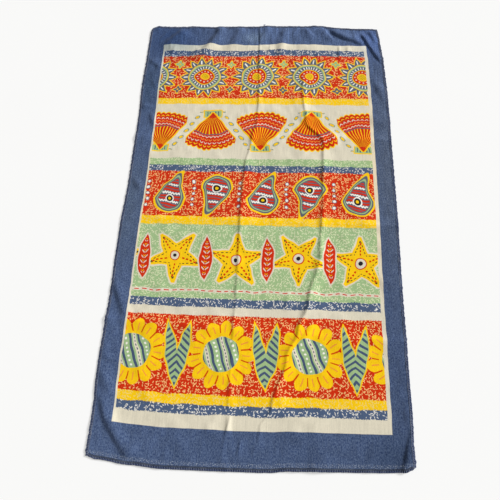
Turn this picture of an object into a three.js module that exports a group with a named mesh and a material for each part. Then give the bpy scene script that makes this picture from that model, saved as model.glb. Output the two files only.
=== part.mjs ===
// A printed beach towel, laid out flat with its face up. Millimetres, Z up.
// The origin is on the surface it lies on, under the middle of the towel; +Y runs along its length.
//
// One cut of cloth and the overlocking that wraps its four raw edges. The cloth is a wall of even depth
// over a grid of stations. Some columns of the grid run along the two long creases and some rows along the
// three crosswise ones, where the towel was folded away, so each crease has an edge of the mesh to itself.

import * as THREE from 'three';

// ---- driving sizes -------------------------------------------------------------------------------
const towelWidth = 864;     // over the widest place, as it lies
const towelLength = 1523;
const clothWall = 2.0;      // velour face and looped back together
const threadWall = 0.6;     // depth of the overlock's thread
const seamGap = 0.3;        // between the thread and the cloth it wraps
const overlockWide = 8;     // how far the overlock reaches in from the raw edge
const settleOver = 0.8;     // a fold lower than about this lies down flat
const creaseCrest = 1.3;    // the power of a crease's cross-section, which gives it a sharp crest
const foldCrest = 2;        // the same for a soft fold, which has a round one
const rimEase = 40;         // the cloth sinks back from the overlock to the surface over this width

const overlockStand = seamGap + threadWall;
const halfX = towelWidth / 2 - overlockStand;
const halfY = towelLength / 2 - overlockStand;

// ---- the outline: how far each edge lies inside its straight line --------------------------------
const leftEdge = [
  { at: 761, inset: 9 }, { at: 751, inset: 5 }, { at: 738, inset: 3 }, { at: 671, inset: 2 },
  { at: 600, inset: 2 }, { at: 490, inset: 0 }, { at: 340, inset: 5 }, { at: 275, inset: 6 },
  { at: 210, inset: 4.6 }, { at: 90, inset: 5 }, { at: -80, inset: 0 }, { at: -190, inset: 0 },
  { at: -280, inset: 2 }, { at: -400, inset: 0 }, { at: -550, inset: 0 }, { at: -610, inset: 3 },
  { at: -677, inset: 4 }, { at: -740, inset: 3 }, { at: -761, inset: 4 },
];
const rightEdge = [
  { at: 761, inset: 20 }, { at: 748, inset: 18 }, { at: 700, inset: 13 }, { at: 650, inset: 9 },
  { at: 600, inset: 5 }, { at: 540, inset: 3 }, { at: 480, inset: 1 }, { at: 390, inset: 0 },
  { at: 330, inset: 0 }, { at: 250, inset: 1 }, { at: 180, inset: 0 }, { at: 10, inset: 0 },
  { at: -146, inset: 2 }, { at: -220, inset: 3.5 }, { at: -340, inset: 4 }, { at: -420, inset: 3.6 },
  { at: -510, inset: 5 }, { at: -600, inset: 4 }, { at: -650, inset: 5 }, { at: -711, inset: 8 },
  { at: -761, inset: 6 },
];
const farEdge = [
  { at: -432, inset: 12 }, { at: -408, inset: 3 }, { at: -340, inset: 2.6 }, { at: -260, inset: 0.5 },
  { at: -215, inset: 1 }, { at: -180, inset: 3 }, { at: -145, inset: 0 }, { at: 220, inset: 0 },
  { at: 262, inset: 1 }, { at: 330, inset: 3 }, { at: 385, inset: 3 }, { at: 432, inset: 5 },
];
const nearEdge = [
  { at: -432, inset: 23 }, { at: -400, inset: 16 }, { at: -313, inset: 6 }, { at: -226, inset: 0 },
  { at: -125, inset: 0 }, { at: 20, inset: 1 }, { at: 50, inset: 2 }, { at: 100, inset: 7 },
  { at: 180, inset: 9 }, { at: 260, inset: 11 }, { at: 330, inset: 13 }, { at: 402, inset: 16 },
  { at: 418, inset: 22 }, { at: 432, inset: 30 },
];
const edgeReach = 6;        // the higher, the sooner an edge's inset dies away inside the cloth

// ---- the two long creases: where each runs, how high it stands, and how wide each side of it is ----
const longCrease = [
  { at: 761, x: -19, rise: 1.5, left: 5, right: 34 },
  { at: 742, x: -19, rise: 2.6, left: 5, right: 34 },
  { at: 696, x: -19, rise: 5.6, left: 5, right: 34 },
  { at: 600, x: -18, rise: 5.0, left: 5, right: 30 },
  { at: 424, x: -14, rise: 4.0, left: 6, right: 24 },
  { at: 340, x: -16, rise: 4.0, left: 6, right: 24 },
  { at: 257, x: -32, rise: 4.0, left: 7, right: 24 },
  { at: 157, x: -50, rise: 4.2, left: 8, right: 26 },
  { at: 0, x: -56, rise: 3.0, left: 8, right: 24 },
  { at: -183, x: -56, rise: 2.8, left: 8, right: 24 },
  { at: -632, x: -62, rise: 2.4, left: 9, right: 22 },
  { at: -761, x: -73, rise: 1.6, left: 9, right: 20 },
];
const slantCrease = [
  { at: 761, x: 139, rise: 0.0, left: 10, right: 20 },
  { at: 560, x: 139, rise: 1.0, left: 8, right: 20 },
  { at: 464, x: 139, rise: 3.4, left: 7, right: 20 },
  { at: 334, x: 149, rise: 3.2, left: 7, right: 22 },
  { at: 255, x: 207, rise: 3.4, left: 9, right: 24 },
  { at: 52, x: 203, rise: 3.4, left: 9, right: 24 },
  { at: -156, x: 191, rise: 4.6, left: 9, right: 28 },
  { at: -303, x: 156, rise: 3.8, left: 9, right: 26 },
  { at: -391, x: 126, rise: 5.0, left: 9, right: 28 },
  { at: -467, x: 94, rise: 4.2, left: 9, right: 24 },
  { at: -602, x: 56, rise: 3.4, left: 9, right: 22 },
  { at: -651, x: 26, rise: 2.6, left: 9, right: 20 },
  { at: -761, x: 2, rise: 0.6, left: 9, right: 20 },
];

// ---- the three crosswise creases: their heights at the left edge, the middle and the right edge ----
const crossCreases = [
  { left: 262, right: 268, riseLeft: 4.0, riseMiddle: 1.4, riseRight: 2.6 },
  { left: -42, right: -50, riseLeft: 2.2, riseMiddle: 1.4, riseRight: 4.0 },
  { left: -372, right: -413, riseLeft: 4.0, riseMiddle: 1.6, riseRight: 3.2 },
];
const crossCreaseWide = 16;

// ---- the soft folds: each a ridge from one point to another --------------------------------------
// bow is how far its middle stands off the straight line, to the right hand of one walking along it; rise
// is its height; left and right are its half widths; start and end are the shares of its length over which
// it dies away.
const softFolds = [
  // the folds that run down from the far end
  { x0: -266, y0: 592, x1: -162, y1: 772, bow: 21, rise: 13, left: 15, right: 32, start: 0.5, end: 0.2 },
  { x0: -142, y0: 618, x1: -84, y1: 766, bow: 4, rise: 8.5, left: 14, right: 30, start: 0.5, end: 0.2 },
  { x0: 50, y0: 550, x1: 80, y1: 766, bow: -4, rise: 7, left: 14, right: 19, start: 0.6, end: 0.25 },
  { x0: 150, y0: 655, x1: 196, y1: 790, bow: 6, rise: 8, left: 40, right: 42, start: 0.7, end: 0.0 },
  { x0: 264, y0: 688, x1: 200, y1: 756, bow: 0, rise: 5.5, left: 16, right: 12, start: 0.35, end: 0.4 },
  // the puckers of the far right corner
  { x0: 352, y0: 702, x1: 230, y1: 766, bow: -14, rise: 11.5, left: 12, right: 26, start: 0.25, end: 0.3 },
  { x0: 424, y0: 580, x1: 348, y1: 744, bow: 0, rise: 7.5, left: 10, right: 18, start: 0.3, end: 0.2 },
  { x0: 418, y0: 676, x1: 392, y1: 758, bow: 3, rise: 5, left: 12, right: 12, start: 0.4, end: 0.3 },
  // swells down the two sides
  { x0: -440, y0: 430, x1: -330, y1: 520, bow: 6, rise: 4, left: 30, right: 40, start: 0.2, end: 0.7 },
  { x0: -440, y0: 60, x1: -340, y1: 92, bow: 4, rise: 4, left: 26, right: 34, start: 0.2, end: 0.7 },
  { x0: -364, y0: -378, x1: -428, y1: -230, bow: -3, rise: 6, left: 16, right: 22, start: 0.2, end: 0.4 },
  { x0: -382, y0: -606, x1: -420, y1: -498, bow: -2, rise: 5, left: 16, right: 24, start: 0.3, end: 0.4 },
  { x0: 440, y0: 330, x1: 330, y1: 372, bow: 4, rise: 4, left: 34, right: 28, start: 0.2, end: 0.7 },
  { x0: 440, y0: -232, x1: 348, y1: -250, bow: 4, rise: 4, left: 30, right: 30, start: 0.2, end: 0.7 },
  // the near end: a fold across its left corner, and a lifted corner on the right
  { x0: -296, y0: -752, x1: -424, y1: -562, bow: -20, rise: 8, left: 15, right: 28, start: 0.15, end: 0.35 },
  { x0: 168, y0: -790, x1: 206, y1: -640, bow: 4, rise: 5, left: 34, right: 42, start: 0.1, end: 0.75 },
  { x0: 392, y0: -764, x1: 424, y1: -630, bow: 9, rise: 4, left: 8, right: 22, start: 0.1, end: 0.4 },
  { x0: 404, y0: -785, x1: 448, y1: -690, bow: -4, rise: 6, left: 24, right: 26, start: 0.15, end: 0.35 },
];

// ---- the spacing of the stations -----------------------------------------------------------------
const creaseStep = 9;       // the first step away from a crease
const rimStep = 14;         // the first step inside the overlock
const farStep = 30;         // the widest step near the far end, where the folds crowd
const openStep = 42;        // the widest step elsewhere
const stepGrowth = 1.5;

// ---- small functions -----------------------------------------------------------------------------
const smooth = (t) => t * t * (3 - 2 * t);
const clamp01 = (t) => Math.min(1, Math.max(0, t));

// The value of one column of a table at a place along it, eased from row to row
function along(table, at, column) {
  const way = Math.sign(table[1].at - table[0].at);
  const place = (row) => (row.at - table[0].at) * way;
  const here = (at - table[0].at) * way;
  const next = table.findIndex((row) => place(row) > here);
  if (next === 0) return table[0][column];
  if (next < 0) return table[table.length - 1][column];
  const before = table[next - 1];
  const after = table[next];
  const share = (here - place(before)) / (place(after) - place(before));
  return before[column] + (after[column] - before[column]) * smooth(share);
}

// A ridge's cross-section: one at the crest, dying away over the half width of that side
function ridge(off, left, right, crest) {
  return Math.exp(-Math.pow(Math.abs(off) / (off < 0 ? left : right), crest));
}

// Where the crease lines run, in the plane of the cloth
const longCreaseX = (y) => along(longCrease, y, 'x');
const slantCreaseX = (y) => along(slantCrease, y, 'x');
const crossCreaseY = (crease, x) => crease.left + (crease.right - crease.left) * (x + halfX) / (2 * halfX);

function creaseHeight(table, x, y) {
  const off = x - along(table, y, 'x');
  return along(table, y, 'rise') * ridge(off, along(table, y, 'left'), along(table, y, 'right'), creaseCrest);
}

function crossCreaseHeight(crease, x, y) {
  const side = x / halfX;
  const outer = side < 0 ? crease.riseLeft : crease.riseRight;
  const rise = crease.riseMiddle + (outer - crease.riseMiddle) * side * side;
  return rise * ridge(y - crossCreaseY(crease, x), crossCreaseWide, crossCreaseWide, creaseCrest);
}

function softFoldHeight(fold, x, y) {
  const runX = fold.x1 - fold.x0;
  const runY = fold.y1 - fold.y0;
  const run = Math.hypot(runX, runY);
  const share = ((x - fold.x0) * runX + (y - fold.y0) * runY) / (run * run);
  if (share <= 0 || share >= 1) return 0;
  const off = ((x - fold.x0) * runY - (y - fold.y0) * runX) / run - fold.bow * 4 * share * (1 - share);
  const starts = fold.start ? smooth(clamp01(share / fold.start)) : 1;
  const ends = fold.end ? smooth(clamp01((1 - share) / fold.end)) : 1;
  return fold.rise * starts * ends * ridge(off, fold.left, fold.right, foldCrest);
}

// The height of the cloth's underside. Low folds lie down flat, and all round the edge the cloth stands on
// the overlock's lower threads.
function underside(x, y, inFromRim) {
  let sum = creaseHeight(longCrease, x, y) + creaseHeight(slantCrease, x, y);
  for (const crease of crossCreases) sum += crossCreaseHeight(crease, x, y);
  for (const fold of softFolds) sum += softFoldHeight(fold, x, y);
  const proud = Math.max(0, sum - settleOver / 2);
  const lying = proud ** 2 / (proud + settleOver);
  return lying + overlockStand * smooth(clamp01(1 - (inFromRim - overlockWide) / rimEase));
}

// The cloth's place in plan: its flat cut, pulled in at each edge by that edge's insets
function lieOf(x, y) {
  const leftward = Math.pow((halfX - x) / (2 * halfX), edgeReach);
  const rightward = Math.pow((halfX + x) / (2 * halfX), edgeReach);
  const nearward = Math.pow((halfY - y) / (2 * halfY), edgeReach);
  const farward = Math.pow((halfY + y) / (2 * halfY), edgeReach);
  return [
    x + along(leftEdge, y, 'inset') * leftward - along(rightEdge, y, 'inset') * rightward,
    y + along(nearEdge, x, 'inset') * nearward - along(farEdge, x, 'inset') * farward,
  ];
}

// Shares from 0 to 1 between two lines a span apart: the steps grow from each end up to the widest
function shares(span, firstStep, lastStep, widest) {
  const growing = (step) => {
    const steps = [];
    for (let s = step; s < widest; s *= stepGrowth) steps.push(s);
    return steps;
  };
  const sum = (steps) => steps.reduce((total, s) => total + s, 0);
  const head = growing(firstStep);
  const tail = growing(lastStep).reverse();
  const left = span - sum(head) - sum(tail);
  const middle = Math.max(1, Math.round(left / widest));
  const steps = [...head, ...Array(middle).fill(left / middle), ...tail];
  let reached = 0;
  return steps.map((s) => (reached += s) / span);
}

// ---- the grid of stations ------------------------------------------------------------------------
// Column lines and row lines, each a function across the cloth; those between two creases share the span
function linesBetween(from, to, stepShares) {
  return stepShares.map((share) => (at) => from(at) * (1 - share) + to(at) * share);
}
const still = (value) => () => value;

const columns = [
  still(-halfX),
  still(-halfX + overlockWide),
  ...linesBetween(still(-halfX + overlockWide), longCreaseX, shares(370, rimStep, creaseStep, openStep)),
  ...linesBetween(longCreaseX, slantCreaseX, shares(200, creaseStep, creaseStep, farStep)),
  ...linesBetween(slantCreaseX, still(halfX - overlockWide), shares(260, creaseStep, rimStep, farStep)),
  still(halfX),
];
const [upperCrease, middleCrease, lowerCrease] = crossCreases.map((crease) => (x) => crossCreaseY(crease, x));
const rows = [
  still(-halfY),
  still(-halfY + overlockWide),
  ...linesBetween(still(-halfY + overlockWide), lowerCrease, shares(360, rimStep, creaseStep, openStep)),
  ...linesBetween(lowerCrease, middleCrease, shares(346, creaseStep, creaseStep, openStep)),
  ...linesBetween(middleCrease, upperCrease, shares(311, creaseStep, creaseStep, openStep)),
  ...linesBetween(upperCrease, still(halfY - overlockWide), shares(487, creaseStep, rimStep, farStep)),
  still(halfY),
];
const lastColumn = columns.length - 1;
const lastRow = rows.length - 1;

// stations[i][j] is a point on the cloth's underside, in column i from the left and row j from the near end
const stations = columns.map((columnX) => rows.map((rowY) => {
  const roughY = rowY(0);
  const x = columnX(roughY);
  const y = rowY(x);
  const inFromRim = Math.min(halfX - Math.abs(x), halfY - Math.abs(y));
  const [lieX, lieY] = lieOf(x, y);
  return new THREE.Vector3(lieX, lieY, underside(x, y, inFromRim));
}));

// Each four-sided cell is split along the diagonal whose ends are nearer in height, so a ridge isn't notched
function splitsUpward(i, j) {
  const rising = Math.abs(stations[i][j].z - stations[i + 1][j + 1].z);
  const falling = Math.abs(stations[i + 1][j].z - stations[i][j + 1].z);
  return rising <= falling;
}

// ---- meshes --------------------------------------------------------------------------------------
class Shell {
  constructor() {
    this.places = [];
    this.corners = [];
  }

  point(vector, lift = 0) {
    this.places.push(vector.x, vector.y, vector.z + lift);
    return this.places.length / 3 - 1;
  }

  // A four-sided face, its corners anticlockwise from outside. Its diagonal runs from a to c, or from b to d.
  face(a, b, c, d, fromFirst = true) {
    if (fromFirst) this.corners.push(a, b, c, a, c, d);
    else this.corners.push(a, b, d, b, c, d);
  }

  mesh(name, material) {
    const geometry = new THREE.BufferGeometry();
    geometry.setAttribute('position', new THREE.Float32BufferAttribute(this.places, 3));
    geometry.setIndex(this.corners);
    geometry.computeVertexNormals();
    const mesh = new THREE.Mesh(geometry, material);
    mesh.name = name;
    return mesh;
  }
}

// The cloth: the grid's underside, the same grid one wall higher, and a rim that closes them all round
function towelPanel(material) {
  const shell = new Shell();
  const low = stations.map((column) => column.map((station) => shell.point(station)));
  const high = stations.map((column) => column.map((station) => shell.point(station, clothWall)));
  for (let i = 0; i < lastColumn; i++) {
    for (let j = 0; j < lastRow; j++) {
      const upward = splitsUpward(i, j);
      shell.face(high[i][j], high[i + 1][j], high[i + 1][j + 1], high[i][j + 1], upward);
      shell.face(low[i][j], low[i][j + 1], low[i + 1][j + 1], low[i + 1][j], upward);
    }
  }
  for (let i = 0; i < lastColumn; i++) {
    shell.face(low[i][0], low[i + 1][0], high[i + 1][0], high[i][0]);
    shell.face(low[i + 1][lastRow], low[i][lastRow], high[i][lastRow], high[i + 1][lastRow]);
  }
  for (let j = 0; j < lastRow; j++) {
    shell.face(low[0][j + 1], low[0][j], high[0][j], high[0][j + 1]);
    shell.face(low[lastColumn][j], low[lastColumn][j + 1], high[lastColumn][j + 1], high[lastColumn][j]);
  }
  return shell.mesh('towel_panel', material);
}

// A length of overlocking: the cloth's rim stations and the ones a stitch width in, moved out by the gap and
// the thread, as a section like a U on its side. Each stop has rim and inner. The outside is on the right of
// the way along where turned is 1, and on its left where it is -1.
function overlock(name, stops, turned, material) {
  const shell = new Shell();
  const rings = stops.map(({ rim, inner }) => {
    const outward = new THREE.Vector3(rim.x - inner.x, rim.y - inner.y, 0).normalize();
    const gapEdge = rim.clone().addScaledVector(outward, seamGap);
    const threadEdge = rim.clone().addScaledVector(outward, overlockStand);
    return [
      shell.point(inner, -overlockStand),
      shell.point(threadEdge, -overlockStand),
      shell.point(threadEdge, clothWall + overlockStand),
      shell.point(inner, clothWall + overlockStand),
      shell.point(inner, clothWall + seamGap),
      shell.point(gapEdge, clothWall + seamGap),
      shell.point(gapEdge, -seamGap),
      shell.point(inner, -seamGap),
    ];
  });
  const face = (a, b, c, d, fromFirst) => {
    if (turned > 0) shell.face(a, b, c, d, fromFirst);
    else shell.face(d, c, b, a, !fromFirst);
  };
  for (let s = 0; s + 1 < rings.length; s++) {
    const [here, next] = [rings[s], rings[s + 1]];
    for (let k = 0; k < here.length; k++) {
      const m = (k + 1) % here.length;
      // the legs over and under the cloth are split as the cell between them is
      const leg = k % 2 === 0;
      const startsInner = k % 4 === 0;
      face(here[k], next[k], next[m], here[m], leg ? stops[s].innerFirst === startsInner : true);
    }
  }
  const cap = (ring, facesBack) => {
    for (const [a, b, c, d] of [[0, 1, 6, 7], [1, 2, 5, 6], [2, 3, 4, 5]]) {
      if (facesBack) face(ring[a], ring[b], ring[c], ring[d], true);
      else face(ring[d], ring[c], ring[b], ring[a], true);
    }
  };
  cap(rings[0], true);
  cap(rings[rings.length - 1], false);
  return shell.mesh(name, material);
}

// A stop moved along its edge: by a distance along the line from another station through this one
const moved = (point, from, distance) => {
  const way = new THREE.Vector3(point.x - from.x, point.y - from.y, 0).normalize();
  return point.clone().addScaledVector(way, distance);
};

// The overlocking of a side runs the whole length and just past both ends
function sideOverlock(name, rimColumn, innerColumn, turned, material) {
  const rim = stations[rimColumn];
  const inner = stations[innerColumn];
  const cell = Math.min(rimColumn, innerColumn);
  const stops = rim.map((station, j) => ({
    rim: station,
    inner: inner[j],
    innerFirst: j < lastRow ? splitsUpward(cell, j) === (rimColumn > innerColumn) : true,
  }));
  const past = (j, from) => ({
    rim: moved(rim[j], rim[from], overlockStand),
    inner: moved(inner[j], inner[from], overlockStand),
    innerFirst: true,
  });
  return overlock(name, [past(0, 1), ...stops, past(lastRow, lastRow - 1)], turned, material);
}

// The overlocking of an end runs between the two sides', parted from them by the gap
function endOverlock(name, rimRow, innerRow, turned, material) {
  const cell = Math.min(rimRow, innerRow);
  const stops = [];
  for (let i = 1; i < lastColumn; i++) {
    stops.push({
      rim: stations[i][rimRow],
      inner: stations[i][innerRow],
      innerFirst: splitsUpward(i, cell) === (rimRow > innerRow),
    });
  }
  const parted = (stop, next) => ({
    rim: moved(stop.rim, next.rim, -seamGap),
    inner: moved(stop.inner, next.inner, -seamGap),
    innerFirst: stop.innerFirst,
  });
  const first = parted(stops[0], stops[1]);
  const last = parted(stops[stops.length - 1], stops[stops.length - 2]);
  return overlock(name, [first, ...stops.slice(1, -1), last], turned, material);
}

// ---- the towel -----------------------------------------------------------------------------------
const clothMaterial = new THREE.MeshStandardMaterial({ color: 0x4d5c78, roughness: 0.95, metalness: 0 });
const threadMaterial = new THREE.MeshStandardMaterial({ color: 0x232c45, roughness: 0.8, metalness: 0 });

const towel = new THREE.Group();
towel.add(
  towelPanel(clothMaterial),
  sideOverlock('overlock_left', 0, 1, -1, threadMaterial),
  sideOverlock('overlock_right', lastColumn, lastColumn - 1, 1, threadMaterial),
  endOverlock('overlock_near', 0, 1, 1, threadMaterial),
  endOverlock('overlock_far', lastRow, lastRow - 1, -1, threadMaterial),
);

export default towel;
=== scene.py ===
"""A printed beach towel, laid flat with its face up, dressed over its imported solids. Metres, Z up.

The cloth starts as its flat cut. A place on the cut is (x, y), measured from the middle: x across the
width, y along the length. lie() says where that place comes to lie, rise() how high, and the print is drawn
in the same cut coordinates, so it goes with the cloth over every fold.

The tables of edges, creases and folds are in millimetres and follow the solids' own. The rest is in metres,
but for the print, which is in millimetres of the cut.
"""

import math

import bpy
import numpy as np
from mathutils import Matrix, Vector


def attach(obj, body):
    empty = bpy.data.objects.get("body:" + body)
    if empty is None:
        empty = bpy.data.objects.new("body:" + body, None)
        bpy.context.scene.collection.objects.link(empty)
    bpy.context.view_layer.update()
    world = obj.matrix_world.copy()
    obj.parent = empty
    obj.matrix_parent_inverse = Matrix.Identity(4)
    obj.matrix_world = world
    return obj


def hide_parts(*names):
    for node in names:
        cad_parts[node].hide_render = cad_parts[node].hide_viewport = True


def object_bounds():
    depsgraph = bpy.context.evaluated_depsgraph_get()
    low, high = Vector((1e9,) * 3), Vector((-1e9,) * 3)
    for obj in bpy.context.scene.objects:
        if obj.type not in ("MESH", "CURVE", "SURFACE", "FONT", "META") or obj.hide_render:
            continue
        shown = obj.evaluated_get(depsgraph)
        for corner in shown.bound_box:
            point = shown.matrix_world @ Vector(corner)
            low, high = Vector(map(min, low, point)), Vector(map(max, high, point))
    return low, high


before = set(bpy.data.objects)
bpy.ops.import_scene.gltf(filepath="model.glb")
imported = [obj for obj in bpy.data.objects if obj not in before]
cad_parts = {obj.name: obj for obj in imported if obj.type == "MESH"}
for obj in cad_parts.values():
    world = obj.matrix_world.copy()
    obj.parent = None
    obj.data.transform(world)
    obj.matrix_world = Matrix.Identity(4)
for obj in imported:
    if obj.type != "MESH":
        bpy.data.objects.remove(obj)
cad_box = [list(corner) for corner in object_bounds()]

MM = 0.001

# ---- sizes ---------------------------------------------------------------------------------------
CLOTH_WALL = 2.0 * MM
THREAD_WALL = 0.6 * MM
SEAM_GAP = 0.3 * MM         # between the thread and the cloth it wraps
OVERLOCK_WIDE = 8 * MM      # how far the overlock reaches in from the raw edge
SETTLE_OVER = 0.8 * MM      # a fold lower than about this lies down flat
RIM_EASE = 40 * MM          # the cloth sinks back from the overlock to the surface over this width
CREASE_CREST = 1.3          # the power of a crease's cross-section, which gives it a sharp crest
FOLD_CREST = 2.0            # the same for a soft fold, which has a round one
EDGE_REACH = 6              # the higher, the sooner an edge's inset dies away inside the cloth

STAND = SEAM_GAP + THREAD_WALL
LOW, HIGH = cad_box
HALF_X = (HIGH[0] - LOW[0]) / 2 - STAND
HALF_Y = (HIGH[1] - LOW[1]) / 2 - STAND
HALF_X_MM, HALF_Y_MM = HALF_X / MM, HALF_Y / MM
SCREEN_GAMMA = 2.2          # from screen values to linear light, near enough for factors


# ---- tables: how the cloth lies ------------------------------------------------------------------
def rows(columns, *lines):
    """A table as one array for each named column."""
    return {name: np.array(values, float) for name, values in zip(columns.split(), zip(*lines))}


def each(table):
    """The rows of a table, one after another, as plain names and numbers."""
    for values in zip(*table.values()):
        yield dict(zip(table, values))


# how far each edge lies inside its straight line
LEFT_EDGE = rows(
    "at inset",
    (761, 9), (751, 5), (738, 3), (671, 2), (600, 2), (490, 0), (340, 5), (275, 6), (210, 4.6), (90, 5),
    (-80, 0), (-190, 0), (-280, 2), (-400, 0), (-490, -2), (-550, -1), (-610, 3), (-677, 4), (-740, 3),
    (-761, 4),
)
RIGHT_EDGE = rows(
    "at inset",
    (761, 20), (748, 18), (700, 13), (650, 9), (600, 5), (540, 3), (480, 1), (390, 0), (330, 0), (250, 1),
    (180, 0), (10, 0), (-146, 2), (-220, 3.5), (-340, 4), (-420, 3.6), (-510, 5), (-600, 4), (-650, 5),
    (-711, 8), (-761, 6),
)
FAR_EDGE = rows(
    "at inset",
    (-432, 12), (-408, 3), (-340, 2.6), (-260, 0.5), (-215, 1), (-180, 3), (-145, -1), (-60, -1.6),
    (60, -6), (180, -3.2), (220, -4), (262, 1), (330, 3), (385, 3), (432, 5),
)
NEAR_EDGE = rows(
    "at inset",
    (-432, 23), (-400, 16), (-313, 6), (-226, 0), (-125, 0), (20, 1), (50, 2), (100, 7), (180, 9),
    (260, 11), (330, 13), (402, 16), (418, 22), (432, 30),
)

# the storage creases: where each runs, how high it stands, and how wide each side of it is
LONG_CREASE = rows(
    "at x rise left right",
    (761, -19, 1.5, 5, 34), (742, -19, 2.6, 5, 34), (696, -19, 5.6, 5, 34), (600, -18, 5.0, 5, 30),
    (424, -14, 4.4, 5.5, 24), (340, -16, 4.6, 5.5, 24), (257, -32, 5.0, 5.5, 24), (157, -50, 5.2, 5.5, 26),
    (0, -56, 4.4, 5.5, 24), (-183, -56, 4.0, 6, 24), (-632, -62, 3.2, 7, 22), (-761, -73, 1.6, 9, 20),
)
SLANT_CREASE = rows(
    "at x rise left right",
    (761, 139, 0.0, 10, 20), (560, 139, 1.4, 7, 20), (464, 139, 4.6, 5.5, 20), (334, 149, 4.8, 5.5, 22),
    (255, 207, 5.2, 6, 24), (52, 203, 5.2, 6, 24), (-156, 191, 6.2, 6, 28), (-303, 156, 5.8, 6, 26),
    (-391, 126, 6.4, 6, 28), (-467, 94, 5.4, 7, 24), (-602, 56, 4.6, 7, 22), (-651, 26, 3.4, 8, 20),
    (-761, 2, 0.6, 9, 20),
)
CROSS_CREASES = rows(
    "left right rise_left rise_middle rise_right",
    (262, 268, 4.0, 1.4, 2.6), (-42, -50, 2.2, 1.4, 4.0), (-372, -413, 4.0, 1.6, 3.2),
)
CROSS_CREASE_WIDE = 16

# the soft folds, each a ridge from one point to another: bow is how far its middle stands off the straight
# line, left and right are its half widths, start and end the shares of its length over which it dies away
FOLD_COLUMNS = "x0 y0 x1 y1 bow rise left right start end"
SOFT_FOLDS = rows(
    FOLD_COLUMNS,
    # down from the far end
    (-400, 640, -294, 756, 8, 12, 16, 46, 0.55, 0.25),
    (-266, 592, -162, 772, 21, 14, 17, 24, 0.34, 0.15),
    (-142, 618, -84, 766, 4, 9, 18, 26, 0.5, 0.2),
    (-18, 680, 14, 764, 0, 5, 10, 16, 0.5, 0.3),
    (50, 550, 82, 766, -4, 8.5, 17, 18, 0.6, 0.2),
    (186, 698, 136, 758, 0, 6, 16, 7, 0.4, 0.3),
    (266, 686, 198, 758, 0, 7, 18, 7, 0.35, 0.3),
    (150, 655, 196, 790, 6, 8, 40, 42, 0.7, 0.0),
    # the far right corner's puckers
    (352, 702, 230, 766, -15, 9.5, 7, 24, 0.3, 0.3),
    (368, 684, 318, 712, -4, 6, 5, 16, 0.2, 0.5),
    (428, 584, 358, 744, 0, 6.4, 4.2, 15, 0.3, 0.2),
    (418, 676, 392, 758, 3, 5.5, 9, 9, 0.4, 0.3),
    (430, 400, 376, 552, 0, 4.5, 12, 16, 0.4, 0.4),
    # down the left side
    (-370, 556, -424, 608, 0, 5.5, 10, 16, 0.3, 0.4),
    (-368, 298, -394, 374, 0, 5.5, 8, 14, 0.4, 0.4),
    (-366, 388, -434, 384, 0, 4.5, 7, 14, 0.4, 0.3),
    (-382, 52, -420, 112, 0, 4.5, 9, 14, 0.4, 0.4),
    (-364, -378, -428, -230, -3, 6.5, 12, 18, 0.2, 0.4),
    (-370, -496, -428, -482, 0, 4, 7, 14, 0.4, 0.3),
    (-382, -606, -420, -498, -2, 5.5, 13, 18, 0.3, 0.4),
    (-296, -752, -424, -562, -20, 8.5, 13, 26, 0.15, 0.35),
    # down the right side
    (440, 330, 330, 372, 4, 4, 34, 28, 0.2, 0.7),
    (440, -232, 348, -250, 4, 4, 30, 30, 0.2, 0.7),
    # the near end and its lifted right corner
    (168, -790, 206, -640, 4, 5, 34, 42, 0.1, 0.75),
    (392, -764, 424, -630, 9, 3.4, 3.5, 20, 0.1, 0.4),
    (404, -785, 448, -690, -4, 6, 24, 26, 0.15, 0.35),
)
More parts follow.
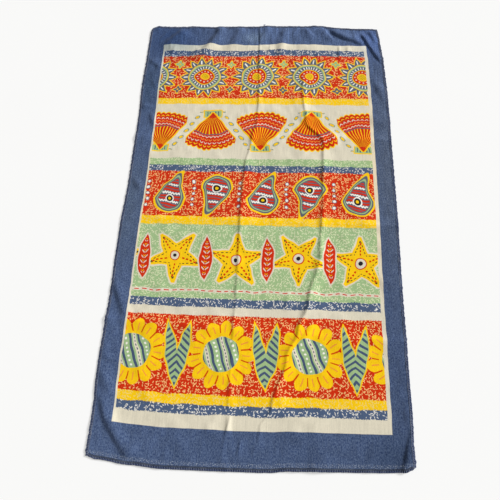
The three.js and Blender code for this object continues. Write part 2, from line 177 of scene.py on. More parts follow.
# the finer wrinkles, which the solids leave out
SMALL_CREASES = rows(
    FOLD_COLUMNS,
    # under the far end
    (-282, 600, -232, 668, 2, 4.0, 4, 13, 0.3, 0.4),
    (-350, 600, -328, 668, 1, 3.4, 3.5, 10, 0.3, 0.4),
    (-348, 640, -346, 690, 0, 2.4, 3.5, 9, 0.4, 0.4),
    (-212, 560, -196, 640, 2, 2.4, 4, 12, 0.5, 0.4),
    (16, 626, 20, 678, 0, 2.4, 3.5, 9, 0.4, 0.4),
    (268, 600, 273, 684, 0, 4.2, 3.5, 10, 0.3, 0.3),
    (298, 632, 306, 674, 0, 2.6, 4, 9, 0.4, 0.4),
    (96, 690, 128, 764, -4, 2.6, 5, 10, 0.4, 0.2),
    (-402, 690, -352, 764, 6, 3.0, 6, 14, 0.4, 0.2),
    (-70, 640, -48, 720, 2, 2.2, 4, 9, 0.4, 0.4),
    (196, 700, 236, 752, 3, 3.0, 5, 9, 0.4, 0.3),
    (330, 700, 346, 748, -3, 3.4, 5, 9, 0.4, 0.4),
    (-372, 450, -404, 522, 0, 3.0, 5, 10, 0.4, 0.4),
    # beside the long crease
    (-36, 330, -70, 470, -6, 2.2, 5, 12, 0.4, 0.5),
    (-74, 120, -96, 216, -4, 2.0, 5, 12, 0.4, 0.5),
    (-88, -300, -74, -200, 3, 1.8, 5, 12, 0.4, 0.5),
    (-66, -676, -54, -600, 2, 3.2, 3, 9, 0.3, 0.5),
    # beside the slanting crease
    (228, 226, 242, 308, 2, 3.2, 6, 13, 0.4, 0.4),
    (196, 96, 212, 180, 2, 3.0, 6, 12, 0.4, 0.4),
    (168, -232, 182, -140, 3, 3.0, 5, 13, 0.4, 0.4),
    (88, -350, 97, -232, 2, 2.8, 5, 14, 0.4, 0.4),
    (118, -446, 176, -344, 4, 4.6, 5, 15, 0.3, 0.4),
    (96, -500, 118, -420, 4, 2.8, 5, 12, 0.4, 0.4),
    (318, -340, 370, -288, 2, 2.8, 5, 12, 0.4, 0.4),
    (146, 300, 130, 400, -5, 2.4, 5, 13, 0.4, 0.4),
    (60, -640, 84, -560, 4, 2.4, 5, 12, 0.4, 0.4),
    # along the borders
    (376, 278, 426, 262, 3, 2.6, 5, 12, 0.3, 0.3),
    (426, 116, 386, 108, 3, 2.4, 5, 12, 0.1, 0.6),
    (428, -8, 384, -10, 3, 2.8, 5, 12, 0.1, 0.6),
    # the near end
    (-236, -766, -214, -690, 3, 2.4, 6, 14, 0.1, 0.6),
    (-34, -730, -24, -672, 2, 3.0, 4, 12, 0.3, 0.5),
    (300, -768, 322, -676, 4, 2.6, 6, 14, 0.1, 0.6),
)

# the gentle unevenness of cloth that was shaken out by hand: waves of cloth under all the rest
SWELLS = rows("wavelength height", (310, 0.9), (170, 0.9), (90, 0.8), (46, 0.56), (24, 0.26))
EASED_UP = 1.0          # the cloth rests on its swells' troughs
WAVES_PER_SWELL = 7
SWELL_SEED = 7

# painted shade and highlight, dust and other patches, as factors of the screen values at each middle
PAINTED_LIGHT_AND_DUST = rows(
    "x y reach_x reach_y red green blue",
    # painted shade over the far left corner
    (-350, 700, 210, 170, 0.76, 0.84, 0.93),
    (-338, 715, 62, 62, 0.86, 0.90, 0.92),
    # painted shade over the near right corner
    (376, -725, 115, 85, 0.87, 0.89, 0.90),
    # a painted highlight beside the long crease at the far end, over its shaded flank
    (-40, 706, 62, 44, 1.30, 1.26, 1.15),
    # darker on the left side
    (-405, 480, 75, 180, 0.84, 0.88, 0.88),
    # dust down both sides
    (420, 130, 90, 620, 1.14, 1.07, 0.97),
    (-415, 0, 80, 330, 1.06, 1.03, 0.96),
    # lighter along the far end, and bluer at its right corner
    (110, 740, 420, 110, 1.06, 1.07, 1.08),
    (410, 700, 110, 130, 1.02, 1.06, 1.14),
)
RIPPLE_REACH = 16       # the thread's tension ripples the cloth this far in from the rim
RIPPLE_HEIGHT = 0.55
RIPPLE_WAVELENGTHS = (13, 19, 31)
RIM_WANDER = 0.5        # and its outline wanders in and out a little,
NEAR_WANDER = 0.3       # least at the near edge, which takes this share of it
WANDER_REACH = 4        # the power of an edge's share that keeps the wander beside that edge


# ---- the form of the cloth -----------------------------------------------------------------------
def smooth(share):
    """The cubic ease from 0 to 1."""
    share = np.clip(share, 0, 1)
    return share * share * (3 - 2 * share)


def along(table, at, column):
    """The value of one column at each place along the table, eased from row to row."""
    order = np.argsort(table["at"])
    places, values = table["at"][order], table[column][order]
    after = np.clip(np.searchsorted(places, at), 1, len(places) - 1)
    share = smooth((at - places[after - 1]) / (places[after] - places[after - 1]))
    return values[after - 1] + (values[after] - values[after - 1]) * share


def ridge(off, left, right, crest):
    """A ridge's cross-section: e to the minus (distance over that side's half width) to the power crest."""
    return np.exp(-((np.abs(off) / np.where(off < 0, left, right)) ** crest))


def crease_height(table, x, y):
    """The long way's creases: a ridge across x whose line, height and widths change along y."""
    line, height, left, right = (along(table, y, column) for column in ("x", "rise", "left", "right"))
    return height * ridge(x - line, left, right, CREASE_CREST)


def cross_crease_height(crease, x, y):
    """A crosswise crease: a ridge across y, its height a parabola between the middle and the two edges."""
    side = x / (HALF_X_MM)
    outer = np.where(side < 0, crease["rise_left"], crease["rise_right"])
    height = crease["rise_middle"] + (outer - crease["rise_middle"]) * side**2
    line = crease["left"] + (crease["right"] - crease["left"]) * (side + 1) / 2
    return height * ridge(y - line, CROSS_CREASE_WIDE, CROSS_CREASE_WIDE, CREASE_CREST)


def fold_height(fold, x, y, crest):
    """One fold: a ridge about a bowed line from one point to another, eased away at its start and end."""
    run_x, run_y = fold["x1"] - fold["x0"], fold["y1"] - fold["y0"]
    run = math.hypot(run_x, run_y)
    share = ((x - fold["x0"]) * run_x + (y - fold["y0"]) * run_y) / run**2
    off = ((x - fold["x0"]) * run_y - (y - fold["y0"]) * run_x) / run
    off = off - fold["bow"] * 4 * share * (1 - share)
    starts = smooth(share / fold["start"]) if fold["start"] else share > 0
    ends = smooth((1 - share) / fold["end"]) if fold["end"] else share < 1
    return fold["rise"] * starts * ends * ridge(off, fold["left"], fold["right"], crest)


def swell_height(x, y):
    """A sum of sine waves at each wavelength, in directions and phases drawn from a fixed seed."""
    draw = np.random.default_rng(SWELL_SEED)
    total = np.zeros_like(x)
    for swell in each(SWELLS):
        for _ in range(WAVES_PER_SWELL):
            turn, phase = draw.uniform(0, 2 * math.pi, 2)
            stretch = draw.uniform(0.8, 1.3) * swell["wavelength"]
            wave = (x * math.cos(turn) + y * math.sin(turn)) * 2 * math.pi / stretch
            total += np.sin(wave + phase) * swell["height"] / math.sqrt(WAVES_PER_SWELL)
    return total


def ripple_height(x, y, in_from_rim):
    """Small waves along the nearest edge, dying away inwards as e to the minus distance over the reach."""
    beside = HALF_X_MM - np.abs(x) < HALF_Y_MM - np.abs(y)
    place = np.where(beside, y, x)
    waves = sum(np.sin(place * 2 * math.pi / length + length) for length in RIPPLE_WAVELENGTHS)
    uneven = 0.6 + 0.4 * np.sin(place / 57)
    return RIPPLE_HEIGHT * uneven * waves / len(RIPPLE_WAVELENGTHS) * np.exp(-in_from_rim / RIPPLE_REACH)


def rise(x, y):
    """The height of the cloth's underside over the surface, in metres. All folds are added up, what is low
    lies down flat, and round the rim the cloth stands on the overlock's lower threads."""
    x, y = x / MM, y / MM
    in_from_rim = np.minimum(HALF_X_MM - np.abs(x), HALF_Y_MM - np.abs(y))
    total = crease_height(LONG_CREASE, x, y) + crease_height(SLANT_CREASE, x, y)
    total += sum(cross_crease_height(crease, x, y) for crease in each(CROSS_CREASES))
    total += sum(fold_height(fold, x, y, FOLD_CREST) for fold in each(SOFT_FOLDS))
    total += sum(fold_height(fold, x, y, CREASE_CREST) for fold in each(SMALL_CREASES))
    total += EASED_UP + swell_height(x, y) + ripple_height(x, y, in_from_rim)
    proud = np.maximum(0, total * MM - SETTLE_OVER / 2)
    lying = proud**2 / (proud + SETTLE_OVER)
    return lying + STAND * smooth(1 - (in_from_rim * MM - OVERLOCK_WIDE) / RIM_EASE)


def wander(place):
    """How far the outline wanders at places along an edge: a sum of three sine waves, uneven along it."""
    waves = sum(np.sin(place * 2 * math.pi / length + 2 * length) for length in RIPPLE_WAVELENGTHS)
    return RIM_WANDER * waves * (0.7 + 0.3 * np.sin(place / 71))


def lie(x, y):
    """Where a place on the cut comes to lie in plan: the cut, pulled in at each edge by that edge's insets,
    which die away inwards, with the outline's wander on top."""
    leftward = ((HALF_X - x) / (2 * HALF_X)) ** EDGE_REACH
    rightward = ((HALF_X + x) / (2 * HALF_X)) ** EDGE_REACH
    nearward = ((HALF_Y - y) / (2 * HALF_Y)) ** EDGE_REACH
    farward = ((HALF_Y + y) / (2 * HALF_Y)) ** EDGE_REACH
    inset_x = along(LEFT_EDGE, y / MM, "inset") * leftward - along(RIGHT_EDGE, y / MM, "inset") * rightward
    inset_y = along(NEAR_EDGE, x / MM, "inset") * nearward - along(FAR_EDGE, x / MM, "inset") * farward
    inset_x += wander(y / MM) * (leftward**WANDER_REACH - rightward**WANDER_REACH)
    inset_y += wander(x / MM) * (nearward**WANDER_REACH * NEAR_WANDER - farward**WANDER_REACH)
    return x + inset_x * MM, y + inset_y * MM


def underside(x, y):
    """The cloth's underside as points in space, one for each place on the cut."""
    plan_x, plan_y = lie(x, y)
    return np.stack([plan_x, plan_y, rise(x, y)], axis=-1)


def unit(vectors):
    """The same directions, each of length 1."""
    return vectors / np.linalg.norm(vectors, axis=-1, keepdims=True)


def upward(points):
    """Unit normals of a grid of points: the cross product of its two directions, turned to point up."""
    across, lengthwise = np.gradient(points, axis=0), np.gradient(points, axis=1)
    return unit(np.cross(across, lengthwise))


# ---- the grid of the cloth: its lines, and how wide its steps are from one line to the next ----
FAR_PART = 545          # the grid is twice as fine across from here to the far end
BORDER_STRIP = 64       # and evenly fine over this width along both sides
STEP_GROWTH = 1.3
ROW_STEPS = rows(
    "span first last widest",
    (390, 2.2, 3.0, 5.0), (346, 3.0, 3.0, 5.6), (311, 3.0, 3.0, 5.6), (280, 3.0, 3.4, 5.2),
    (216, 3.2, 2.2, 3.2),
)
COLUMN_STEPS = rows(
    "span first last widest",
    (BORDER_STRIP, 2.2, 3.3, 3.3), (306, 3.3, 2.0, 5.8), (200, 2.0, 2.4, 5.6), (206, 2.4, 3.3, 5.8),
    (BORDER_STRIP, 3.3, 2.2, 3.3),
)


def shares(span, first, last, widest):
    """Shares from 0 to 1 between two lines a span apart: an even number of steps, which grow from the first
    and from the last up to the widest."""
    def growing(step):
        count = max(0, math.ceil(math.log(widest / step) / math.log(STEP_GROWTH)))
        return [step * STEP_GROWTH**k for k in range(count)]

    head, tail = growing(first), growing(last)[::-1]
    left = span - sum(head) - sum(tail)
    middle = max(2, round(left / widest))
    middle += (len(head) + len(tail) + middle) % 2
    return np.cumsum(head + [left / middle] * middle + tail) / span


def halved(steps):
    """The same shares with one more in the middle of each step."""
    return np.stack([(np.concatenate([[0], steps[:-1]]) + steps) / 2, steps], axis=1).ravel()


def between(start, end, steps):
    """Lines between two lines, each an array of places, at the given shares of the way to the second."""
    return start + (end - start) * steps[:, None]


def cut_parts():
    """The places of the cloth's grid on the flat cut, as (x, y): columns that follow the two long creases,
    and rows that follow the three crosswise ones, close together there and along the edges. Where the folds
    crowd, beyond FAR_PART, there is a column more between each two, so the cut is given in two parts that
    share a row."""
    left, right = CROSS_CREASES["left"][::-1], CROSS_CREASES["right"][::-1]
    lines = [-HALF_Y_MM, *(left + right) / 2, FAR_PART, HALF_Y_MM]
    tilts = [0, *(right - left) / 2, 0, 0]
    row_shares = [shares(**steps) for steps in each(ROW_STEPS)]
    column_shares = [shares(**steps) for steps in each(COLUMN_STEPS)]

    def part(y, steps):
        edge = np.full_like(y, HALF_X_MM)
        border = edge - BORDER_STRIP
        creases = [-edge, -border, along(LONG_CREASE, y, "x"), along(SLANT_CREASE, y, "x"), border, edge]
        x = [between(start, end, step) for start, end, step in zip(creases, creases[1:], steps)]
        x = np.concatenate([-edge[None], *x])
        y = y + np.interp(y, lines, tilts) * x / HALF_X_MM
        return np.stack(np.broadcast_arrays(x, y), axis=-1) * MM

    y = [start + (end - start) * step for start, end, step in zip(lines, lines[1:], row_shares)]
    near = part(np.concatenate([[-HALF_Y_MM], *y[:-1]]), column_shares)
    return near, part(np.concatenate([[FAR_PART], y[-1]]), [halved(step) for step in column_shares])


# ---- objects and meshes --------------------------------------------------------------------------
def place_object(name, data):
    """An object in the scene, at the origin."""
    placed = bpy.data.objects.new(name, data)
    bpy.context.scene.collection.objects.link(placed)
    return placed


def make_mesh(name, points, faces, materials, material_index=None):
    """A smooth mesh from an array of points and a list of arrays of faces. The faces of one array have the
    same number of corners."""
    corners = np.concatenate([block.ravel() for block in faces]).astype(np.int32)
    sizes = np.concatenate([np.full(len(block), block.shape[1]) for block in faces])
    mesh = bpy.data.meshes.new(name)
    mesh.vertices.add(len(points))
    mesh.vertices.foreach_set("co", np.asarray(points, np.float32).ravel())
    mesh.loops.add(len(corners))
    mesh.loops.foreach_set("vertex_index", corners)
    mesh.polygons.add(len(sizes))
    mesh.polygons.foreach_set("loop_start", (np.cumsum(sizes) - sizes).astype(np.int32))
    for material in materials:
        mesh.materials.append(material)
    if material_index is not None:
        mesh.polygons.foreach_set("material_index", material_index.astype(np.int32))
    mesh.update(calc_edges=True)
    mesh.shade_smooth()
    return place_object(name, mesh)


def grid_quads(ids):
    """The faces of a grid of vertex numbers, anticlockwise if the first index runs right, the second up."""
    return np.stack([ids[:-1, :-1], ids[1:, :-1], ids[1:, 1:], ids[:-1, 1:]], axis=-1).reshape(-1, 4)


def widening_faces(coarse, fine):
    """Five-cornered faces between a line of vertices that runs right and, above it, one with a vertex more
    between each two."""
    return np.stack([coarse[:-1], coarse[1:], fine[2::2], fine[1::2], fine[:-1:2]], axis=-1)


def add_uv(mesh, name, corners):
    """A UV map from an array with one pair for each face corner."""
    mesh.uv_layers.new(name=name).data.foreach_set("uv", np.asarray(corners, np.float32).ravel())


def store(mesh, name, values):
    """Stores a number or three for each vertex, as an attribute that the materials read."""
    kind, field = ("FLOAT", "value") if values.ndim == 1 else ("FLOAT_VECTOR", "vector")
    mesh.attributes.new(name, kind, "POINT").data.foreach_set(field, values.astype(np.float32).ravel())


def sheet_faces(near, far):
    """The faces of one side of the cloth, from the vertex numbers of its two parts."""
    return [grid_quads(near), widening_faces(near[:, -1], far[:, 0]), grid_quads(far)]


def sheet_rim(near, far):
    """The boundary of one side of the cloth, as four runs of vertex numbers: near, right, far and left."""
    left, right = np.concatenate([near[0], far[0]]), np.concatenate([near[-1], far[-1]])
    return near[:, 0], right, far[::-1, -1], left[::-1]


def wear_at(x, y):
    """How much a crease has rubbed the pile: the heights of the sharp creases, brought to a share of 1."""
    x, y = x / MM, y / MM
    wear = crease_height(LONG_CREASE, x, y) / 6 + crease_height(SLANT_CREASE, x, y) / 6
    wear += sum(cross_crease_height(crease, x, y) for crease in each(CROSS_CREASES)) / 5
    wear += sum(fold_height(fold, x, y, CREASE_CREST) for fold in each(SMALL_CREASES)) / 5
    return np.clip(wear, 0, 1)


def painted_light_and_dust_at(x, y):
    """The cloth's patches of painted shade, painted highlight and dust, as red, green and blue factors of
    linear light.
    """
    painted_light_and_dust = np.ones((*x.shape, 3))
    for spot in each(PAINTED_LIGHT_AND_DUST):
        away = np.hypot((x / MM - spot["x"]) / spot["reach_x"], (y / MM - spot["y"]) / spot["reach_y"])
        factors = np.array([spot["red"], spot["green"], spot["blue"]]) ** SCREEN_GAMMA
        painted_light_and_dust *= 1 + (factors - 1) * smooth(1 - away)[..., None]
    return painted_light_and_dust


# how OFBake spreads the cloth over its square: the face from the lower left corner, the back beside it, and
# the rim's four strips above the back
BAKE_MARGIN = 0.004
FACE_LONG, BACK_LONG = 0.99, 0.7
BACK_LEFT = 0.59
STRIP_LEFT, STRIP_LONG = 0.6, 0.38
STRIP_BOTTOM, STRIP_PITCH, STRIP_TALL = 0.76, 0.03, 0.015


def make_cloth(face_finish, back_finish):
    """The cloth as one closed wall: the face, which is the underside moved out along the normal by the
    wall's depth, the underside with every second column and row of it, and four strips for the rim. Its UV
    map Cut is the flat cut in metres; OFBake spreads face, back and rim apart."""
    places = cut_parts()
    lower = [underside(place[..., 0], place[..., 1]) for place in places]
    upper = [points + upward(points) * CLOTH_WALL for points in lower]

    def four_grids(top, bottom):
        return [top[0][:, :-1], top[1], bottom[0][::2, :-1:2], bottom[1][::2, ::2]]

    grids, cuts = four_grids(upper, lower), four_grids(places, places)
    starts = np.cumsum([0] + [grid.shape[0] * grid.shape[1] for grid in grids])
    ids = [start + np.arange(grid.shape[0] * grid.shape[1]).reshape(grid.shape[:2])
           for start, grid in zip(starts, grids)]
    face = sheet_faces(*ids[:2])
    back = [block[:, ::-1] for block in sheet_faces(*ids[2:])]
    rim = [widening_faces(low, high) for low, high in zip(sheet_rim(*ids[2:]), sheet_rim(*ids[:2]))]
    faces = [*face, *back, *rim]
    kinds = np.concatenate([np.full(len(block), 1 if 3 <= k < 6 else 0) for k, block in enumerate(faces)])
    points = np.concatenate([grid.reshape(-1, 3) for grid in grids])
    cloth = make_mesh("towel_cloth", points, faces, [face_finish, back_finish], kinds)

    cut = np.concatenate([grid.reshape(-1, 2) for grid in cuts])
    add_uv(cloth.data, "Cut", np.concatenate([cut[block].reshape(-1, 2) for block in faces]))
    square = (cut + [HALF_X, HALF_Y]) / (2 * HALF_Y)
    maps = [square[block].reshape(-1, 2) * FACE_LONG + BAKE_MARGIN for block in face]
    maps += [square[block].reshape(-1, 2) * BACK_LONG + [BACK_LEFT, BAKE_MARGIN] for block in back]
    for k, block in enumerate(rim):
        left = np.linspace(STRIP_LEFT, STRIP_LEFT + STRIP_LONG, len(block))[:, None]
        along_strip = left + np.array([0, 1, 1, 0.5, 0]) * STRIP_LONG / len(block)
        bottom = np.full((len(block), 1), STRIP_BOTTOM + STRIP_PITCH * k)
        up_strip = bottom + np.array([0, 0, 1, 1, 1]) * STRIP_TALL
        maps.append(np.stack([along_strip, up_strip], axis=-1).reshape(-1, 2))
    add_uv(cloth.data, "OFBake", np.concatenate(maps))
    cloth.data.uv_layers["Cut"].active_render = True
    store(cloth.data, "Wear", wear_at(cut[:, 0], cut[:, 1]))
    store(cloth.data, "PaintedLightAndDust", painted_light_and_dust_at(cut[:, 0], cut[:, 1]))
    return cloth


# ---- finishes ------------------------------------------------------------------------------------
class Signal:
    """A value or colour that changes over a surface. Arithmetic on it adds Math nodes."""

    def __init__(self, finish, socket):
        self.finish = finish
        self.socket = socket

    def output(self, name):
        """Another output of the node this signal comes from."""
        return Signal(self.finish, self.socket.node.outputs[name])

    def __add__(self, other):
        return self.finish.math("ADD", self, other)

    def __sub__(self, other):
        return self.finish.math("SUBTRACT", self, other)

    def __rsub__(self, other):
        return self.finish.math("SUBTRACT", other, self)

    def __mul__(self, other):
        return self.finish.math("MULTIPLY", self, other)

    def __truediv__(self, other):
        return self.finish.math("DIVIDE", self, other)

    def __rtruediv__(self, other):
        return self.finish.math("DIVIDE", other, self)

    def __abs__(self):
        return self.finish.math("ABSOLUTE", self)

    __radd__ = __add__
    __rmul__ = __mul__


class Finish:
    """A material under construction: its Principled shader's own sockets, and the nodes that feed them."""

    def __init__(self, name, **constants):
        self.material = bpy.data.materials.new(name)
        self.material.use_nodes = True
        self.nodes = self.material.node_tree.nodes
        self.links = self.material.node_tree.links
        self.shader = self.nodes["Principled BSDF"]
        self.set(**constants)

    def socket(self, node, name):
        """A node's input by its identifier, or else by its name with _ for a space."""
        for socket in node.inputs:
            if socket.identifier == name:
                return socket
        return node.inputs[name.replace("_", " ")]

    def fill(self, socket, value):
        """Links a signal to a socket, or sets a number, a vector or a colour on it."""
        if isinstance(value, Signal):
            self.links.new(value.socket, socket)
        elif socket.type == "RGBA" and len(value) == 3:
            socket.default_value = (*value, 1)
        else:
            socket.default_value = value

    def set(self, **values):
        """Sets or links the shader's own sockets."""
        for name, value in values.items():
            self.fill(self.socket(self.shader, name), value)

    def add(self, kind, settings=None, **inputs):
        """Adds a node by its type, its settings and the values or links of its sockets. Gives its first
        output."""
        node = self.nodes.new("ShaderNode" + kind)
        for name, value in (settings or {}).items():
            setattr(node, name, value)
        for name, value in inputs.items():
            self.fill(self.socket(node, name), value)
        return Signal(self, next(socket for socket in node.outputs if socket.enabled))

    def math(self, operation, *values, clamp=False):
        """A Math node on one, two or three values."""
        node = self.nodes.new("ShaderNodeMath")
        node.operation = operation
        node.use_clamp = clamp
        for socket, value in zip(node.inputs, values):
            self.fill(socket, value)
        return Signal(self, node.outputs[0])

    def point(self, x, y):
        """Two numbers as a vector."""
        return self.add("CombineXYZ", X=x, Y=y)

    def split(self, vector):
        """A vector's or colour's three numbers."""
        x = self.add("SeparateXYZ", Vector=vector)
        return x, x.output("Y"), x.output("Z")

    def noise(self, x, y, detail=1.0, roughness=0.5):
        """Smooth noise over a plane, about 0.5 in the middle; its Color output has three of them."""
        settings = {"noise_dimensions": "2D"}
        place = self.point(x, y)
        return self.add("TexNoise", settings, Vector=place, Scale=1.0, Detail=detail, Roughness=roughness)

    def solid_noise(self, scale, detail):
        """Smooth noise through the space that the piece lies in, so many waves to the metre."""
        place = self.add("TexCoord").output("Object")
        return self.add("TexNoise", Vector=place, Scale=scale, Detail=detail)

    def cells(self, x, y):
        """Points scattered over a plane, about one to each square unit: how far off the nearest one is."""
        return self.add("TexVoronoi", {"voronoi_dimensions": "2D"}, Vector=self.point(x, y), Scale=1.0)

    def attribute(self, name, output="Fac"):
        """What is stored for each vertex under a name."""
        return self.add("Attribute", {"attribute_name": name}).output(output)

    def lay(self, under, over, where):
        """A colour, with another laid over it where the mask is one."""
        return self.add("Mix", {"data_type": "RGBA"}, Factor_Float=where, A_Color=under, B_Color=over)

    def tint(self, colour, amount):
        """A colour made lighter or darker by a number."""
        return self.add("VectorMath", {"operation": "SCALE"}, Vector=colour, Scale=amount)

    def ramp(self, value, slope, start):
        """A value times a slope, plus a start, kept between 0 and 1."""
        return self.math("MULTIPLY_ADD", value, slope, start, clamp=True)

    def inside(self, distance, soft=0.5):
        """One where a distance in millimetres is below zero, none where it is above, with a soft edge."""
        return self.ramp(distance, -0.5 / soft, 0.5)

    def stripe(self, place, half_width, soft=0.5):
        """One within half a width of zero."""
        return self.inside(abs(place) - half_width, soft)

    def repeat(self, place, pitch):
        """A place within its own repeat, from minus half a pitch to half a pitch."""
        return self.math("WRAP", place, pitch / 2, -pitch / 2)

    def alternate(self, x, y, pitch):
        """A place within its own repeat, and plus one in one repeat and minus one in the next, which stands
        upside down."""
        turn = self.math("SIGN", self.math("COSINE", x * (math.pi / pitch)))
        return self.repeat(x, pitch), y * turn, turn

    def length(self, x, y):
        """The distance of a place from the middle of a motif."""
        return self.add("VectorMath", {"operation": "LENGTH"}, Vector=self.point(x, y)).output("Value")

    def both(self, one, other):
        """The larger of two values: of two distances, that to the part which both shapes share."""
        return self.math("MAXIMUM", one, other)

    def either(self, one, other):
        """The smaller of two values: of two distances, that to the nearer shape."""
        return self.math("MINIMUM", one, other)

    def done(self, colour, height, strength, distance):
        """The material, with its colour and a bump."""
        bump = self.add("Bump", Strength=strength, Distance=distance, Height=height)
        self.set(Base_Color=colour, Normal=bump)
        return self.material


class Printed(Finish):
    """A finish whose colour is printed, one ink over another, on a cream ground."""

    def __init__(self, name, **constants):
        super().__init__(name, **constants)
        self.colour = INK["cream"]

    def ink(self, name, where):
        """Prints one ink where the mask is one."""
        self.colour = self.lay(self.colour, INK[name], where)

    def outlined(self, distance, line, fill, width=4.0):
        """Prints a shape with a drawn line round it."""
        self.ink(line, self.inside(distance - width))
        self.ink(fill, self.inside(distance))


def srgb(red, green, blue):
    """A colour as linear light, from its 0 to 255 screen values."""
    value = np.array([red, green, blue]) / 255
    return tuple(np.where(value <= 0.04045, value / 12.92, ((value + 0.055) / 1.055) ** 2.4).tolist())


INK = {
    "denim": srgb(66, 86, 122),
    "cream": srgb(220, 212, 190),
    "yellow": srgb(247, 200, 14),
    "red": srgb(205, 45, 4),
    "green": srgb(158, 186, 134),
    "blue": srgb(70, 84, 112),
    "dusk": srgb(76, 93, 122),
    "slate": srgb(92, 98, 112),
    "teal": srgb(104, 138, 138),
    "black": srgb(34, 30, 32),
    "orange": srgb(240, 146, 60),
    "straw": srgb(236, 210, 126),
    "peach": srgb(253, 206, 134),
    "white": srgb(240, 236, 226),
    "pale_green": srgb(222, 224, 184),
}


# ---- the print, in millimetres of the flat cut ---------------------------------------------------
FIELD_LEFT, FIELD_RIGHT = -373, 375
FIELD_FAR, FIELD_NEAR = 672, -662
FRAME_LEFT, FRAME_RIGHT = 5, 11
PRINT_TILT = 0.004              # the print lies a little askew on the cut,
PRINT_TILT_GROWTH = 0.000018    # and more so towards the far end
BANDS = (
    # ground and height, from the far end
    ("cream", 26), ("dusk", 26), ("red", 190), ("yellow", 26), ("cream", 222),
    ("green", 26), ("dusk", 25), ("red", 164), ("yellow", 28), ("green", 240),
    ("dusk", 26), ("cream", 25), ("red", 222), ("yellow", 26), ("dusk", 25),
)
BAND_GROUNDS = [name for name, _ in BANDS]
BAND_EDGES = [FIELD_FAR - sum(height for _, height in BANDS[:number]) for number in range(len(BANDS) + 1)]
FLECKS = {
    # for each ground, the ink of the flecks scattered on it, and about how much of it they cover
    "red": ("peach", 0.66), "dusk": ("white", 0.5), "green": ("pale_green", 0.74),
    "yellow": ("straw", 0.7), "cream": ("cream", 0.0),
}
FLECK_SIZES = (
    # pitch, long, thick, shift
    (7.4, 4.2, 1.8, 3.1), (9.4, 5.6, 1.8, 11.7),
)
SUN_BAND, SHELL_BAND, DROP_BAND, STAR_BAND, FLOWER_BAND = 2, 4, 7, 9, 12
SUN_PITCH, STAR_PITCH, FLOWER_PITCH = 187, 187, 249.4


def band_middle(number):
    """The middle of a band, counted from the far end."""
    return (BAND_EDGES[number] + BAND_EDGES[number + 1]) / 2


def flecks(f, x, y, pitch, long, thick, shift):
    """Short bent strokes, one in each cell of an uneven grid, each at its own slant: how far outside the
    nearest one a place is, and that cell's own random number."""
    cell = f.cells(x / pitch + shift, y / pitch - shift)
    own_turn, own_keep, own_bend = f.split(cell.output("Color"))
    home_x, home_y, _ = f.split(cell.output("Position"))
    off_x, off_y = x - (home_x - shift) * pitch, y - (home_y + shift) * pitch
    cosine, sine = f.math("COSINE", own_turn * math.pi), f.math("SINE", own_turn * math.pi)
    lengthwise = off_x * cosine + off_y * sine
    bend = (own_bend - 0.5) * (1.6 / long)
    crosswise = off_y * cosine - off_x * sine + lengthwise * lengthwise * bend
    past_end = f.both(abs(lengthwise) - long / 2, 0.0)
    return f.length(past_end, crosswise) - thick / 2, own_keep


def ground(f, x, y, ragged_y):
    """The bands from the far end to the near one, each laid over the one before from its ragged upper edge
    down, with flecks of a lighter ink scattered over them in drifts."""
    fleck, share = INK["cream"], 0.0
    for top, name in zip(BAND_EDGES[1:], BAND_GROUNDS[1:]):
        here = f.inside(ragged_y - top, 0.4)
        fleck_ink, covered = FLECKS[name]
        f.ink(name, here)
        fleck = f.lay(fleck, INK[fleck_ink], here)
        share = f.add("Mix", {"data_type": "FLOAT"}, Factor_Float=here, A_Float=share, B_Float=covered)
    last = f.inside(ragged_y - BAND_EDGES[-1], 0.4)
    f.ink("cream", last)
    share = share * (1 - last)
    drift = (f.noise(x / 26, y / 17, detail=1.0) - 0.5) * 1.5 + share
    for size in FLECK_SIZES:
        off, own_keep = flecks(f, x, y, *size)
        kept = f.math("MULTIPLY", drift - own_keep, 9.0, clamp=True)
        present = f.math("GREATER_THAN", share, 0.02)
        f.colour = f.lay(f.colour, fleck, f.inside(off, 0.45) * kept * present)


def polar(f, x, y):
    """A place as its distance from the middle and its angle."""
    return f.length(x, y), f.math("ARCTAN2", y, x)


def sectors(f, angle, count):
    """Where in its own sector an angle lies, from minus a half to a half."""
    return f.repeat(angle * (count / (2 * math.pi)), 1.0)


def suns(f, x, y):
    """Suns with pointed rays: rings within rings about a seeded middle."""
    rays, tip, notch = 14, 86, 60
    x = f.repeat(x, SUN_PITCH)
    radius, angle = polar(f, x, y)
    ray = abs(sectors(f, angle, rays))
    across_ray = ray * radius * (2 * math.pi / rays)
    edge = (radius + ray * (2 * (tip - notch)) - tip) * 0.72
    f.outlined(edge, "yellow", "slate", 4.5)
    f.ink("white", f.stripe(across_ray, 2.2) * f.stripe(radius - 67, 8))
    f.outlined(radius - 54, "yellow", "green", 3)
    tick = abs(sectors(f, angle, 26)) * radius * (2 * math.pi / 26)
    f.ink("slate", f.inside(radius - 49))
    f.ink("white", f.stripe(tick, 1.7) * f.stripe(radius - 42, 4.6))
    f.outlined(radius - 32, "yellow", "red", 3)
    bead = f.length(radius - 24, abs(sectors(f, angle, 12)) * radius * (2 * math.pi / 12))
    f.ink("cream", f.inside(bead - 2.6))
    f.outlined(radius - 15, "orange", "yellow", 2.4)
    seed = f.length(f.repeat(x + y, 7), f.repeat(x - y, 7))
    f.ink("black", f.inside(seed - 2.0) * f.inside(radius - 12))


def sprigs(f, x, y, fill):
    """Small four-leaved sprigs between the suns: two crossed ellipses."""
    x = f.repeat(x, SUN_PITCH)
    leaf = f.either(f.length(x, y * 2.6), f.length(x * 2.6, y)) - 15
    f.outlined(leaf * 0.6, "yellow", fill, 2.6)
    f.ink("yellow", f.inside(f.length(x, y) - 3.2))


